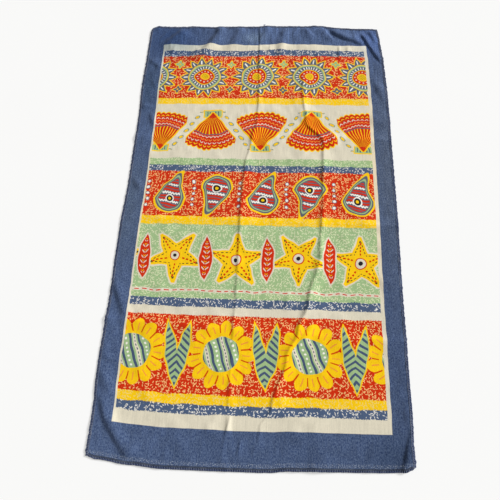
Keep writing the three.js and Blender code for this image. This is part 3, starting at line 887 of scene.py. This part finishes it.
def scallops(f, x, y):
    """Scallop shells, every other one upside down: a fan of ribs about its hinge with a scalloped far edge,
    and strings of pearls between them."""
    pitch, ribs, half_angle, reach, drop = 170, 11, math.radians(38), 152, 76
    x, y, _ = f.alternate(x + 2, y, pitch)
    pearl = f.length(abs(x) - 85 - y * 0.62, f.repeat(y, 27)) - 5.5
    f.ink("teal", f.inside(pearl - 2.4) * f.stripe(y, 78))
    f.ink("yellow", f.inside(pearl) * f.stripe(y, 78))
    y = y + drop
    radius, angle = f.length(x, y), f.math("ARCTAN2", x, y)
    rib = f.repeat(angle * (ribs / (2 * half_angle)), 1.0)
    edge = f.both(radius + rib * rib * 28 - reach, (abs(angle) - half_angle) * radius)
    hinge = f.both(abs(x) - 29, abs(y - 6) - 11)
    f.outlined(hinge, "yellow", "green", 4)
    within_hinge = f.inside(f.both(abs(x) - 25, abs(y - 6) - 8))
    f.ink("blue", f.stripe(f.repeat(x, 9), 1.6) * within_hinge)
    f.outlined(edge, "yellow", "red", 4.5)
    fan = f.inside(edge)
    across_rib = rib * radius * (2 * half_angle / ribs)
    f.ink("yellow", f.inside(0.36 - abs(rib), 0.03) * f.stripe(radius - 56, 36) * fan)
    f.ink("slate", f.stripe(radius - 94, 1.8) * fan)
    for at, name in ((106, "cream"), (118, "orange"), (130, "cream"), (142, "yellow")):
        mark = radius + abs(across_rib) * 0.9 - at
        f.ink(name, f.stripe(mark, 1.8) * f.inside(abs(across_rib) - 5.6) * fan)


def teardrops(f, x, y):
    """Leaning teardrops, every other one upside down: a disc drawn out to a bent point with bars across it,
    and a column of dots on either side."""
    pitch, scale = 149.6, 1.27
    x, y, turn = f.alternate(x - 12, y, pitch)
    x = x * turn
    dot = f.length(abs(x) - pitch / 2, f.repeat(y, 21)) - 4.4
    f.ink("slate", f.inside(dot - 2) * f.stripe(y, 50))
    f.ink("white", f.inside(dot) * f.stripe(y, 50))
    x, y = x / scale, y / scale
    rising = f.both(y + 14, 0.0)
    lean = x - rising * rising * 0.0042
    taper = rising * 0.0155 + 1.0
    drop = (f.length(lean * taper, rising * 0.52 + f.either(y + 14, 0.0)) - 38) * 0.85
    f.outlined(drop, "yellow", "slate", 3.8)
    f.ink("green", f.stripe(drop + 4.4, 1.2))
    core = f.inside(drop + 8)
    bar = f.repeat(y + lean * 0.16, 24)
    zigzag = abs(f.repeat(lean, 7)) * 0.9
    f.ink("white", f.stripe(bar + zigzag - 1.5, 2.4) * core)
    f.ink("red", f.stripe(abs(bar + 1) - 8, 2.6) * core)
    middle = f.length(lean, y + 16)
    f.outlined(middle - 9, "white", "black", 3)
    f.ink("yellow", f.inside(middle - 4))


def starfish(f, x, y):
    """Five-armed starfish, every other one turned over: straight-sided arms with dashes down them."""
    arms, tip, notch, blunt = 5, 100, 41, 88
    x, y, _ = f.alternate(x + 62, y, STAR_PITCH)
    radius, angle = polar(f, y + 6, x)
    sector = abs(sectors(f, angle, arms)) * (2 * math.pi / arms)
    out, aside = radius * f.math("COSINE", sector), radius * f.math("SINE", sector)
    run_x, run_y = notch * math.cos(math.pi / arms) - tip, notch * math.sin(math.pi / arms)
    run = math.hypot(run_x, run_y)
    side = (out - tip) * (run_y / run) + aside * (-run_x / run)
    edge = f.both(side, radius - blunt)
    f.outlined(edge, "cream", "yellow", 4.5)
    dash = f.stripe(f.repeat(out, 12), 3.4) * f.inside(18 - out) * f.inside(out - 80)
    f.ink("black", f.stripe(side + 8, 1.3) * dash)
    dash = f.stripe(f.repeat(out - 6, 12), 3.6) * f.stripe(out - 47, 26)
    f.ink("red", f.stripe(aside, 2.3) * dash)
    f.outlined(radius - 14, "red", "cream", 3)
    f.ink("black", f.inside(radius - 6))


def lens(f, x, y, half_length, half_width):
    """A leaf shape: the overlap of two equal circles."""
    circle = (half_length**2 + half_width**2) / (2 * half_width)
    return f.length(abs(x) + (circle - half_width), y) - circle


def wing_leaves(f, x, y):
    """Upright leaves with rows of chevrons, between the starfish."""
    x = f.repeat(x + (62 - STAR_PITCH / 2), STAR_PITCH)
    leaf = lens(f, x, y - 4, 72, 19)
    f.outlined(leaf, "cream", "red", 4)
    mark = f.repeat(y - abs(x) * 0.9, 17)
    off_middle = f.stripe(abs(x) - 6, 4.5)
    f.ink("cream", f.stripe(mark, 2.1) * f.inside(leaf + 5) * off_middle)
    f.ink("yellow", f.stripe(mark - 8, 1.5) * f.inside(leaf + 4) * f.stripe(x, 4))


def dashed_line(f, x, y):
    """A cream line across the band with red dashes on it."""
    f.ink("cream", f.stripe(y, 4.6))
    f.ink("red", f.stripe(y, 1.5) * f.stripe(f.repeat(x, 22), 6.5))


def sunflowers(f, x, y):
    """Large round-petalled flowers with a striped middle."""
    petals = 13
    x = f.repeat(x + 90, FLOWER_PITCH)
    radius, angle = polar(f, x, y)
    petal = sectors(f, angle, petals)
    across = abs(petal) * radius * (2 * math.pi / petals)
    edge = (radius + petal * petal * 74 - 96) * 0.86
    f.ink("yellow", f.inside(edge))
    gap = f.inside(0.445 - abs(petal), 0.03) * f.inside(58 - radius) * f.inside(edge)
    f.ink("red", gap)
    f.ink("orange", f.inside(across - 1.5) * f.stripe(radius - 72, 11))
    f.outlined(radius - 50, "yellow", "green", 4)
    disc = f.inside(radius - 50)
    slant = x * 0.94 + y * 0.34
    level = y * 0.94 - x * 0.34
    f.ink("blue", f.stripe(f.repeat(slant, 25), 3.4) * disc)
    f.ink("cream", f.stripe(f.repeat(slant - 12.5, 50), 4.6) * disc)
    dots = f.length(f.repeat(slant - 37.5, 50), f.repeat(level, 13))
    f.ink("white", f.inside(dots - 3.2) * disc)
    marks = f.stripe(f.repeat(slant - 12.5, 50), 1.3) * f.stripe(f.repeat(level, 11), 3.0)
    f.ink("blue", marks * disc)


def striped_leaves(f, x, y):
    """Leaning leaves with slanting stripes, in pairs between the flowers."""
    x = f.repeat(x + (90 - FLOWER_PITCH / 2), FLOWER_PITCH)
    lean = abs(x) - 16 - y * 0.18
    leaf = lens(f, lean, y + 4, 92, 17)
    f.outlined(leaf, "yellow", "green", 4)
    bar = f.stripe(f.repeat(y + lean * 0.7, 17), 3.6)
    f.ink("blue", bar * f.inside(leaf + 1.5))


def draw_print(f, x, y):
    """Prints the bands, the motifs and the cream line, and gives a mask of where the border goes. The
    hand-cut look is a wobble of a few millimetres over every drawn edge, and the bands' own edges are more
    ragged still."""
    y = y - x * (y * PRINT_TILT_GROWTH + PRINT_TILT)
    slow_x, slow_y, _ = f.split(f.noise(x / 42, y / 42, detail=0.0).output("Color"))
    fine_x, fine_y, fine = f.split(f.noise(x / 3.1, y / 3.1, detail=1.0).output("Color"))
    drawn_x = x + (slow_x - 0.5) * 9 + (fine_x - 0.5) * 1.0
    drawn_y = y + (slow_y - 0.5) * 9 + (fine_y - 0.5) * 1.0
    ragged_y = y + (slow_y - 0.5) * 6 + (fine - 0.5) * 8
    ground(f, x, y, ragged_y)
    suns(f, drawn_x + 24, drawn_y - band_middle(SUN_BAND))
    between_suns = drawn_x + (24 - SUN_PITCH / 2)
    sprigs(f, between_suns, drawn_y - (band_middle(SUN_BAND) + 56), "green")
    sprigs(f, between_suns, drawn_y - (band_middle(SUN_BAND) - 58), "slate")
    scallops(f, drawn_x, drawn_y - band_middle(SHELL_BAND))
    teardrops(f, drawn_x, drawn_y - band_middle(DROP_BAND))
    dashed_line(f, drawn_x, drawn_y - (band_middle(STAR_BAND) - 96))
    starfish(f, drawn_x, drawn_y - (band_middle(STAR_BAND) + 8))
    wing_leaves(f, drawn_x, drawn_y - (band_middle(STAR_BAND) + 4))
    sunflowers(f, drawn_x, drawn_y - band_middle(FLOWER_BAND))
    striped_leaves(f, drawn_x, drawn_y - band_middle(FLOWER_BAND))
    edge_x, edge_y = x + (slow_x - 0.5) * 2, y + (slow_y - 0.5) * 2
    in_from_left, in_from_right = edge_x - FIELD_LEFT, FIELD_RIGHT - edge_x
    f.ink("cream", f.inside(f.either(in_from_left - FRAME_LEFT, in_from_right - FRAME_RIGHT)))
    in_from_ends = f.either(FIELD_FAR - edge_y, edge_y - FIELD_NEAR)
    return f.inside(f.either(f.either(in_from_left, in_from_right), in_from_ends), 0.6)


def cut_coordinates(f):
    """A place on the flat cut, in millimetres."""
    u, v, _ = f.split(f.add("UVMap", {"uv_map": "Cut"}))
    return u * (1 / MM), v * (1 / MM)


SHADE = 0.935           # how much of its inks' lightness the pile gives back


def towel_face():
    """Printed cotton velour: the print's inks sunk in a short pile over fine lengthwise ribs, paler where
    the creases have rubbed it, and heathered in the plain border, with patches of painted shade and
    highlight, dust, and painted shade along the needle lines."""
    f = Printed("printed_velour", Roughness=0.94, Specular_IOR_Level=0.06)
    f.set(Sheen_Weight=0.05, Sheen_Roughness=0.6)
    x, y = cut_coordinates(f)
    border = draw_print(f, x, y)
    pile = f.noise(x / 1.5, y / 2.6, detail=2.0, roughness=0.7)
    heather = f.noise(x / 3.3, y / 6.0, detail=2.0, roughness=1.0)
    streak = f.noise(x / 2.3, y / 48, detail=1.0, roughness=0.7)
    mottle = f.noise(x / 30, y / 44, detail=3.0, roughness=0.62)
    broad_streak = f.noise(x / 5.5, y / 60, detail=1.0, roughness=0.6)
    denim = f.lay(srgb(24, 45, 89), srgb(103, 121, 151), f.ramp(heather, 1.8, -0.44))
    # the border is palest at the far right corner and darkest at the near right one
    denim = f.tint(denim, 1.0 + y * 0.00006 + x * (y * 0.00000023 - 0.00005))
    colour = f.lay(f.colour, denim, border)
    shade = SHADE + (pile - 0.5) * 0.24 + (heather - 0.5) * 0.22 + (streak - 0.5) * 0.22
    shade = shade + f.attribute("Wear") * 0.06
    # the blotches and broad streaks show most in the border, the streaks most towards the far end
    streaky = f.ramp(y, 1 / 900, 0.15) * 0.5 + 0.28
    shade = shade + ((mottle - 0.5) * 0.4 + (broad_streak - 0.5) * streaky) * (border * 0.8 + 0.2)
    # the patches of painted shade, painted highlight and dust are multiplied in here
    shaded, painted_light_and_dust = f.tint(colour, shade), f.attribute("PaintedLightAndDust", "Vector")
    colour = f.add("VectorMath", {"operation": "MULTIPLY"}, Vector=shaded, Vector_001=painted_light_and_dust)
    # painted shade along the needle lines beside the threads, darkest beside the near ones; further in at
    # the near end, pale lint clings to the pile
    in_from_near, in_from_others = y + HALF_Y_MM, f.either(HALF_X_MM - abs(x), HALF_Y_MM - y)
    groove_shade = f.inside(in_from_others - 8.4, 0.8) * 0.1 + f.inside(in_from_near - 9.0, 0.8) * 0.66
    colour = f.tint(colour, 1 - groove_shade)
    fluff = f.inside(0.62 - f.noise(x / 2.6, y / 2.6, detail=1.0), 0.05)
    colour = f.lay(colour, srgb(162, 170, 182), fluff * f.stripe(in_from_near - 14.5, 5, 1.5) * 0.62)
    rib = f.math("SINE", x * (2 * math.pi / 2.1) + (heather - 0.5) * 3.0)
    height = pile * 0.75 + rib * 0.12 + f.noise(x / 0.7, y / 0.9) * 0.35
    return f.done(colour, height, 0.55, 0.6 * MM)


def towel_back():
    """Looped cotton, cream, with the border and the bands showing through it faintly, and painted shade
    between the loops.
    """
    f = Printed("looped_back", Roughness=0.95, Specular_IOR_Level=0.15)
    f.set(Sheen_Weight=0.25, Sheen_Roughness=0.7)
    x, y = cut_coordinates(f)
    slow = (f.noise(x / 20, y / 20, detail=2.0) - 0.5) * 14
    for top, name in zip(BAND_EDGES[1:], BAND_GROUNDS[1:]):
        f.ink(name, f.inside(y + slow - top, 3.0))
    across = abs(x + slow - (FIELD_LEFT + FIELD_RIGHT) / 2) - (FIELD_RIGHT - FIELD_LEFT) / 2
    lengthwise = abs(y + slow - (FIELD_FAR + FIELD_NEAR) / 2) - (FIELD_FAR - FIELD_NEAR) / 2
    f.ink("denim", f.inside(0 - f.both(across, lengthwise), 3.0))
    loops = f.cells(x / 1.7, y / 2.3)
    f.ink("cream", 0.66 - loops * 0.25)
    # painted light and shade: lighter on the loops' tops, darker between them
    colour = f.tint(f.colour, 1.08 - loops * 0.5)
    return f.done(colour, 1 - loops, 0.8, 1.1 * MM)


def thread_finish():
    """Navy spun thread, a little uneven in colour, with its fibres as a fine bump and painted shade towards
    the needle line.
    """
    f = Finish("navy_thread", Roughness=0.6, Specular_IOR_Level=0.3, Sheen_Weight=0.1)
    broad, fibre = f.solid_noise(60.0, 2.0), f.solid_noise(2600.0, 1.0)
    colour = f.lay(srgb(83, 100, 134), srgb(142, 152, 173), f.ramp(broad, 2.2, -0.6))
    # painted shade towards the needle line
    colour = f.tint(colour, (0.7 + fibre * 0.6) * (1 - f.attribute("GrooveShade")))
    return f.done(colour, fibre, 0.5, 0.2 * MM)


def edge_finish():
    """The cloth's edge between the threads: denim, with pale lint and painted shade towards the needle
    line.
    """
    f = Finish("lint_edge", Roughness=0.95, Specular_IOR_Level=0.15, Sheen_Weight=0.2)
    lint = f.solid_noise(900.0, 2.0)
    colour = f.lay(srgb(20, 33, 70), srgb(128, 108, 102), f.ramp(lint, 4.0, -2.5))
    # painted shade towards the needle line
    colour = f.tint(colour, 1 - f.attribute("GrooveShade"))
    return f.done(colour, lint, 0.7, 0.4 * MM)


# ---- the overlocking -----------------------------------------------------------------------------
STITCH_PITCH = 4.4 * MM
THREAD_RADIUS = 0.46 * MM
NEEDLE_LINE = 7.0 * MM
WRAP_RADIUS = 1.5 * MM      # from the middle of the cloth's wall to the middle of the wrapping threads
LINT_REACH = OVERLOCK_WIDE - 0.4 * MM
LINT_OUTSIDE = WRAP_RADIUS - 0.2 * MM       # the lint's layer, measured as WRAP_RADIUS is
LINT_INSIDE = CLOTH_WALL / 2 + 0.05 * MM
WRAP_POINTS = 14            # round the section of the lint's layer
LOOPER_POINTS, NEEDLE_POINTS = 12, 6        # for each stitch
LOOPER_LEAN = 0.24          # how far a looper thread leans along the edge, as a share of a stitch
LOOPER_LIFT = 0.12 * MM     # how far it stands out halfway between the needle line and the rim
NEEDLE_HEIGHT = CLOTH_WALL / 2 + 0.1 * MM   # the needle thread over the middle of the wall at its holes
NEEDLE_BULGE = 0.62 * MM    # and how much higher between them
# the painted shade of the threads and lint begins this far in from the rim and deepens over the second
# width
GROOVE_SHADE_FROM, GROOVE_SHADE_EASE = 3 * MM, 2.8 * MM
UP = np.array([0.0, 0.0, 1.0])


class Edge:
    """One edge of the cloth, followed from start to end: the rim, a line a little way in, and the two
    directions that a section across the edge is drawn in."""

    def __init__(self, fixed_x=None, fixed_y=None, start=0.0, end=0.0, groove_shade=0.0):
        self.fixed_x, self.fixed_y = fixed_x, fixed_y
        self.start, self.end = start, end
        self.groove_shade = groove_shade

    def groove_shade_at(self, out):
        """How much painted shade darkens the threads and the lint towards the needle line, where they sink
        in, for each place.
        """
        return self.groove_shade * smooth((-out - GROOVE_SHADE_FROM) / GROOVE_SHADE_EASE)

    def at(self, place, inward):
        """Points on the middle of the cloth's wall at places along the edge, some way in from the rim."""
        if self.fixed_x is not None:
            x = np.full_like(place, self.fixed_x) * (1 - inward / abs(self.fixed_x))
            points = underside(x, place)
        else:
            y = np.full_like(place, self.fixed_y) * (1 - inward / abs(self.fixed_y))
            points = underside(place, y)
        return points + UP * CLOTH_WALL / 2

    def section(self, place, out, up):
        """Points of a section across the edge: out is how far outside the rim, up is how far above the
        middle of the wall, each an array as long as place."""
        rim, inner = self.at(place, 0.0), self.at(place, OVERLOCK_WIDE)
        outward = unit((rim - inner) * [1, 1, 0])
        share = np.clip(-out / OVERLOCK_WIDE, 0, 1)[:, None]
        middle = rim + (inner - rim) * share + outward * np.maximum(out, 0)[:, None]
        return middle + UP * up[:, None]


def wrap(turn, reach, radius):
    """The section that wraps an edge, as (out, up): from turn 0, a way in on the top, straight to the rim,
    round it in a half circle squeezed to half its depth, and back in below at turn 1."""
    straight = reach / (2 * reach + math.pi * radius * 0.5)
    top = np.clip(turn / straight, 0, 1)
    bottom = np.clip((1 - turn) / straight, 0, 1)
    bend = np.clip((turn - straight) / (1 - 2 * straight), 0, 1)
    below = np.where(turn > 1 - straight, -reach * (1 - bottom), 0.0)
    out = np.where(turn < straight, -reach * (1 - top), below)
    return out + 0.5 * radius * np.sin(math.pi * bend), radius * np.cos(math.pi * bend)


def thread(path):
    """A thread: a four-cornered section carried along a path, two of its corners level and two as upright
    as the path lets them be. Closed at both ends."""
    onward = unit(np.gradient(path, axis=0))
    level = unit(np.cross(onward, UP))
    upright = np.cross(level, onward)
    corners = np.stack([upright, level, -upright, -level], axis=1) * THREAD_RADIUS
    points = (path[:, None] + corners).reshape(-1, 3)
    ids = np.arange(len(points)).reshape(-1, 4)
    ring = np.concatenate([ids, ids[:, :1]], axis=1)
    return points, np.concatenate([grid_quads(ring), ids[:1], ids[-1:, ::-1]])


def casing(edge, count):
    """The lint and cloth under the threads: a layer between two wraps, carried along the edge."""
    turn = np.linspace(0, 1, WRAP_POINTS)
    outer = wrap(turn, LINT_REACH, LINT_OUTSIDE)
    inner = wrap(turn[::-1], LINT_REACH, LINT_INSIDE)
    out, up = np.concatenate([outer, inner], axis=1)
    place = np.linspace(edge.start, edge.end, count)
    points = edge.section(np.repeat(place, len(out)), np.tile(out, count), np.tile(up, count))
    ids = np.arange(len(points)).reshape(count, -1)
    ring = np.concatenate([ids, ids[:, :1]], axis=1)
    caps = []
    for row in (ids[0], ids[-1][::-1]):
        one, other = row[:WRAP_POINTS], row[::-1][:WRAP_POINTS]
        caps.append(np.stack([one[:-1], one[1:], other[1:], other[:-1]], axis=1))
    groove_shade = edge.groove_shade_at(np.tile(out, count))
    return points, np.concatenate([grid_quads(ring.T)[:, ::-1], *caps]), groove_shade


def looper(edge, stitches, above, shift):
    """The looper thread: it goes from the needle line out to the rim and back once a stitch, over the cloth
    or under it, leaning a little along the edge."""
    stage = np.arange(stitches * LOOPER_POINTS + 1) / LOOPER_POINTS
    swing = np.abs((stage + shift) % 1.0 * 2 - 1)
    turn = 0.5 * smooth(1 - swing) if above else 1 - 0.5 * smooth(1 - swing)
    out, up = wrap(turn, NEEDLE_LINE, WRAP_RADIUS)
    pitch = (edge.end - edge.start) / stitches
    place = edge.start + pitch * (stage + LOOPER_LEAN * np.sin(2 * math.pi * stage))
    place = np.clip(place, min(edge.start, edge.end), max(edge.start, edge.end))
    lift = (LOOPER_LIFT if above else -LOOPER_LIFT) * np.sin(math.pi * swing)
    return *thread(edge.section(place, out, up + lift)), edge.groove_shade_at(np.repeat(out, 4))


def needle_thread(edge, stitches):
    """The needle thread: straight stitches along the needle line, each bulging up between its two holes."""
    stage = np.arange(stitches * NEEDLE_POINTS + 1) / NEEDLE_POINTS
    up = NEEDLE_HEIGHT + NEEDLE_BULGE * np.abs(np.sin(math.pi * stage))
    place = edge.start + (edge.end - edge.start) * stage / stitches
    out = np.full_like(place, -NEEDLE_LINE)
    return *thread(edge.section(place, out, up)), edge.groove_shade_at(np.repeat(out, 4))


def join_parts(parts):
    """Several parts' points and faces as one, with the number of the part for each face."""
    starts = np.cumsum([0] + [len(part[0]) for part in parts])
    points = np.concatenate([part[0] for part in parts])
    quads = np.concatenate([part[1] + start for part, start in zip(parts, starts)])
    numbers = np.concatenate([np.full(len(part[1]), k) for k, part in enumerate(parts)])
    return points, quads, numbers


def make_overlock(name, edge, thread_material, edge_material):
    """One edge's overlocking: the lint under the threads, a looper thread above and one below, and the
    needle's thread."""
    stitches = round(abs(edge.end - edge.start) / STITCH_PITCH)
    parts = [
        casing(edge, stitches + 1),
        looper(edge, stitches, True, 0.0),
        looper(edge, stitches, False, 0.5),
        needle_thread(edge, stitches),
    ]
    points, quads, numbers = join_parts(parts)
    piece = make_mesh(name, points, [quads], [edge_material, thread_material], np.minimum(numbers, 1))
    store(piece.data, "GrooveShade", np.concatenate([part[2] for part in parts]))
    return piece


# the tuft at the middle of the far edge: each end's heading in degrees, its length, and how far it curls
TUFT_ENDS = rows("turn long curl", (58, 8, 2.2), (98, 7, -1.8), (128, 8, -2.6), (84, 6, 3.0), (110, 7, 2.4))
TUFT_PLACE, TUFT_OUT, TUFT_UP = -4 * MM, 0.4 * MM, 0.4 * MM
TUFT_ARCH = 1.6 * MM
TUFT_POINTS = 12


def make_loose_thread(material):
    """The tuft where the sewing began: five ends of thread, each in a short arc."""
    root = Edge(fixed_y=HALF_Y).section(*np.array([[TUFT_PLACE], [TUFT_OUT], [TUFT_UP]]))[0]
    parts = []
    for end in each(TUFT_ENDS):
        stage = np.linspace(0, 1, TUFT_POINTS)
        heading = math.radians(end["turn"]) + end["curl"] * stage
        step = end["long"] * MM / (TUFT_POINTS - 1)
        level = [np.cumsum(np.cos(heading)) * step, np.cumsum(np.sin(heading)) * step]
        path = np.stack([*level, TUFT_ARCH * np.sin(stage * 2.6)], axis=1)
        parts.append(thread(root + path))
    points, quads, _ = join_parts(parts)
    return make_mesh("loose_thread", points, [quads], [material])


# ---- the towel -----------------------------------------------------------------------------------
cloth = make_cloth(towel_face(), towel_back())
navy, lint = thread_finish(), edge_finish()
corner = OVERLOCK_WIDE + SEAM_GAP
# the last number of each edge is how deep the painted shade along its needle line is, deepest at the near
# edge
EDGES = {
    "overlock_left": Edge(fixed_x=-HALF_X, start=-HALF_Y, end=HALF_Y, groove_shade=0.25),
    "overlock_right": Edge(fixed_x=HALF_X, start=HALF_Y, end=-HALF_Y, groove_shade=0.05),
    "overlock_near": Edge(fixed_y=-HALF_Y, start=HALF_X - corner, end=corner - HALF_X, groove_shade=0.58),
    "overlock_far": Edge(fixed_y=HALF_Y, start=corner - HALF_X, end=HALF_X - corner, groove_shade=0.25),
}
for node, edge in EDGES.items():
    piece = make_overlock("sewn_" + node, edge, navy, lint)
    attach(piece, "root")
    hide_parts(node)
tuft = make_loose_thread(navy)
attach(tuft, "root")

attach(cloth, "root")
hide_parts("towel_panel")

# ---- floor, light and camera ---------------------------------------------------------------------
FLOOR_HALF = 6.0
FLOOR_DROP = 0.2 * MM
FLOOR_GREY = (0.42, 0.42, 0.415)
FLOOR_GLOW = (1.0, 0.998, 0.99)     # lifts the floor nearly to white without washing out the cloth
FLOOR_GLOW_STRENGTH = 0.51
ROOM_WHITE = (1.0, 0.995, 0.985, 1)
ROOM_STRENGTH = 0.25
LAMP_STRENGTH = 4.6
LAMP_BROAD = math.radians(20)
LAMP_TURN = (0, math.radians(57), math.radians(25))
CAMERA_LENS = CAMERA_SENSOR = 36
CAMERA_PLACE = (0.0353, -0.7324, 1.4005)
CAMERA_TURN = (0.3999, 0.0238, 0.0407)


def make_floor():
    """A plain pale floor, a hair below the cloth."""
    corners = np.array([[-1, -1, 0], [1, -1, 0], [1, 1, 0], [-1, 1, 0]]) * FLOOR_HALF - [0, 0, FLOOR_DROP]
    f = Finish("pale_floor", Roughness=0.9, Specular_IOR_Level=0.1)
    f.set(Emission_Color=FLOOR_GLOW, Emission_Strength=FLOOR_GLOW_STRENGTH)
    f.set(Base_Color=f.tint(FLOOR_GREY, 0.985 + f.solid_noise(3.0, 2.0) * 0.02))
    floor = make_mesh("floor", corners, [np.array([[0, 1, 2, 3]])], [f.material])
    return floor


def make_light():
    """A white room and one very broad lamp, from the right and beyond the far end."""
    world = bpy.data.worlds.new("white_room")
    world.use_nodes = True
    background = world.node_tree.nodes["Background"]
    background.inputs["Color"].default_value = ROOM_WHITE
    background.inputs["Strength"].default_value = ROOM_STRENGTH
    bpy.context.scene.world = world
    lamp = bpy.data.lights.new("window", "SUN")
    lamp.energy = LAMP_STRENGTH
    lamp.angle = LAMP_BROAD
    place_object("window", lamp).rotation_euler = LAMP_TURN


def make_camera():
    """A camera held over the near edge, looking down and away along the towel."""
    camera = bpy.data.cameras.new("held_camera")
    camera.lens = CAMERA_LENS
    camera.sensor_width = CAMERA_SENSOR
    camera_object = place_object("held_camera", camera)
    camera_object.location = CAMERA_PLACE
    camera_object.rotation_euler = CAMERA_TURN
    bpy.context.scene.camera = camera_object


floor = make_floor()
make_light()
make_camera()
bpy.context.scene.view_settings.view_transform = "Standard"
